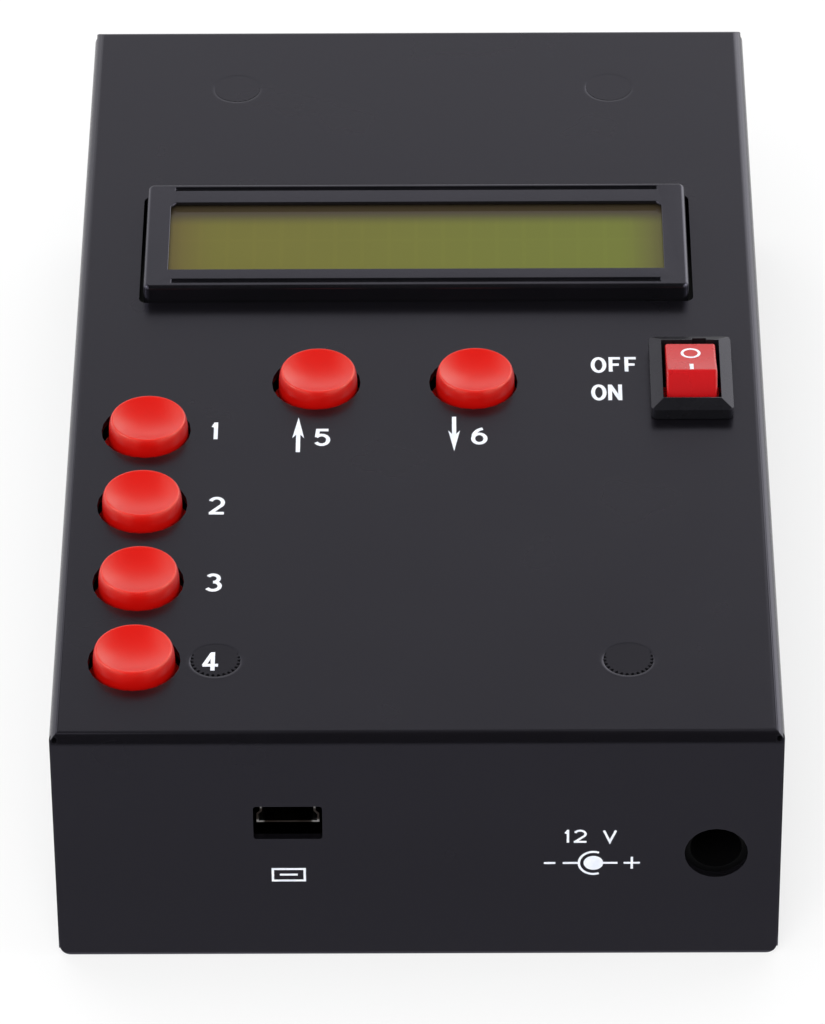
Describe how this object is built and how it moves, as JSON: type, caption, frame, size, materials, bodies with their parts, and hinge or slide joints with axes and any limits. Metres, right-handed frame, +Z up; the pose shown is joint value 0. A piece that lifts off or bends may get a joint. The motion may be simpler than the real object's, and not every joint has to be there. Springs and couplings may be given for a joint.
{
  "type": "antenna analyzer",
  "caption": "Hand-sized folded steel box with a character display, dished push buttons, a rocker switch, a supply jack, a data socket and a coaxial antenna socket.",
  "frame": {"origin": "middle of the underside of the box", "axes": "+Y towards the antenna socket, +Z up out of the display and the buttons, +X towards the rocker switch side"},
  "size_m": [0.0926, 0.1694, 0.0391],
  "materials": {
    "case_paint": "satin powder coat",
    "black_screw": "black oxide",
    "zinc_steel": "bright plated",
    "bezel_black": "gloss black",
    "display_glass": "clear glass over olive",
    "light_guide": "milky",
    "board_green": "solder mask",
    "black_plastic": "moulded",
    "button_red": "moulded gloss",
    "rocker_black": "moulded satin",
    "rocker_red": "moulded gloss",
    "spring_brass": "bright",
    "nickel": "nickel plate",
    "insulator_white": "plain",
    "lead_red": "plain",
    "lead_black": "plain"
  },
  "bodies": {
    "case": {"antenna_contact": "spring_brass", "antenna_insulator": "insulator_white", "antenna_lead": "insulator_white", "antenna_screw_1": "zinc_steel", "antenna_screw_2": "zinc_steel", "antenna_screw_3": "zinc_steel", "antenna_screw_4": "zinc_steel", "antenna_socket": "nickel", "board_screw_1": "zinc_steel", "board_screw_2": "zinc_steel", "board_screw_3": "zinc_steel", "board_screw_4": "zinc_steel", "bottom_cover": "case_paint", "controller_chip": "black_plastic", "cover_screw_1": "black_screw", "cover_screw_2": "black_screw", "cover_screw_3": "black_screw", "cover_screw_4": "black_screw", "data_socket_shell": "zinc_steel", "data_socket_tongue": "black_plastic", "display_backlight": "light_guide", "display_bezel": "bezel_black", "display_board": "board_green", "display_cell": "display_glass", "display_header": "black_plastic", "jack_body": "black_plastic", "jack_pin": "nickel", "jack_spring": "spring_brass", "main_board": "board_green", "rocker_housing": "rocker_black", "rocker_terminal_1": "zinc_steel", "rocker_terminal_2": "zinc_steel", "standoff_1": "case_paint", "standoff_2": "case_paint", "standoff_3": "case_paint", "standoff_4": "case_paint", "switch_body_1": "black_plastic", "switch_body_2": "black_plastic", "switch_body_3": "black_plastic", "switch_body_4": "black_plastic", "switch_body_5": "black_plastic", "switch_body_6": "black_plastic", "switch_lead_1": "lead_red", "switch_lead_2": "lead_black", "synthesizer_chip": "black_plastic", "top_cover": "case_paint"},
    "button_1": {"button_cap_1": "button_red", "button_plunger_1": "black_plastic"},
    "button_2": {"button_cap_2": "button_red", "button_plunger_2": "black_plastic"},
    "button_3": {"button_cap_3": "button_red", "button_plunger_3": "black_plastic"},
    "button_4": {"button_cap_4": "button_red", "button_plunger_4": "black_plastic"},
    "button_5": {"button_cap_5": "button_red", "button_plunger_5": "black_plastic"},
    "button_6": {"button_cap_6": "button_red", "button_plunger_6": "black_plastic"},
    "rocker": {"rocker": "rocker_red"},
    "rocker_contact": {"rocker_contact": "spring_brass"}
  },
  "joints": [
    {"name": "button_1_press", "type": "slide", "parent": "case", "child": "button_1", "axis": [0, 0, -1], "range_m": [0, 0.0003], "stiffness_N_per_m": 4000},
    {"name": "button_2_press", "type": "slide", "parent": "case", "child": "button_2", "axis": [0, 0, -1], "range_m": [0, 0.0003], "stiffness_N_per_m": 4000},
    {"name": "button_3_press", "type": "slide", "parent": "case", "child": "button_3", "axis": [0, 0, -1], "range_m": [0, 0.0003], "stiffness_N_per_m": 4000},
    {"name": "button_4_press", "type": "slide", "parent": "case", "child": "button_4", "axis": [0, 0, -1], "range_m": [0, 0.0003], "stiffness_N_per_m": 4000},
    {"name": "button_5_press", "type": "slide", "parent": "case", "child": "button_5", "axis": [0, 0, -1], "range_m": [0, 0.0003], "stiffness_N_per_m": 4000},
    {"name": "button_6_press", "type": "slide", "parent": "case", "child": "button_6", "axis": [0, 0, -1], "range_m": [0, 0.0003], "stiffness_N_per_m": 4000},
    {"name": "rocker_tilt", "type": "hinge", "parent": "case", "child": "rocker", "pos_m": [0.0351, -0.00515, 0.033], "axis": [1, 0, 0], "range_deg": [0, 26]},
    {"name": "contact_rock", "type": "hinge", "parent": "case", "child": "rocker_contact", "pos_m": [0.0351, -0.00515, 0.02595], "axis": [1, 0, 0], "range_deg": [-14, 0]}
  ],
  "couplings": [
    {"joint": "contact_rock", "follows": "rocker_tilt", "ratio": -0.538}
  ]
}
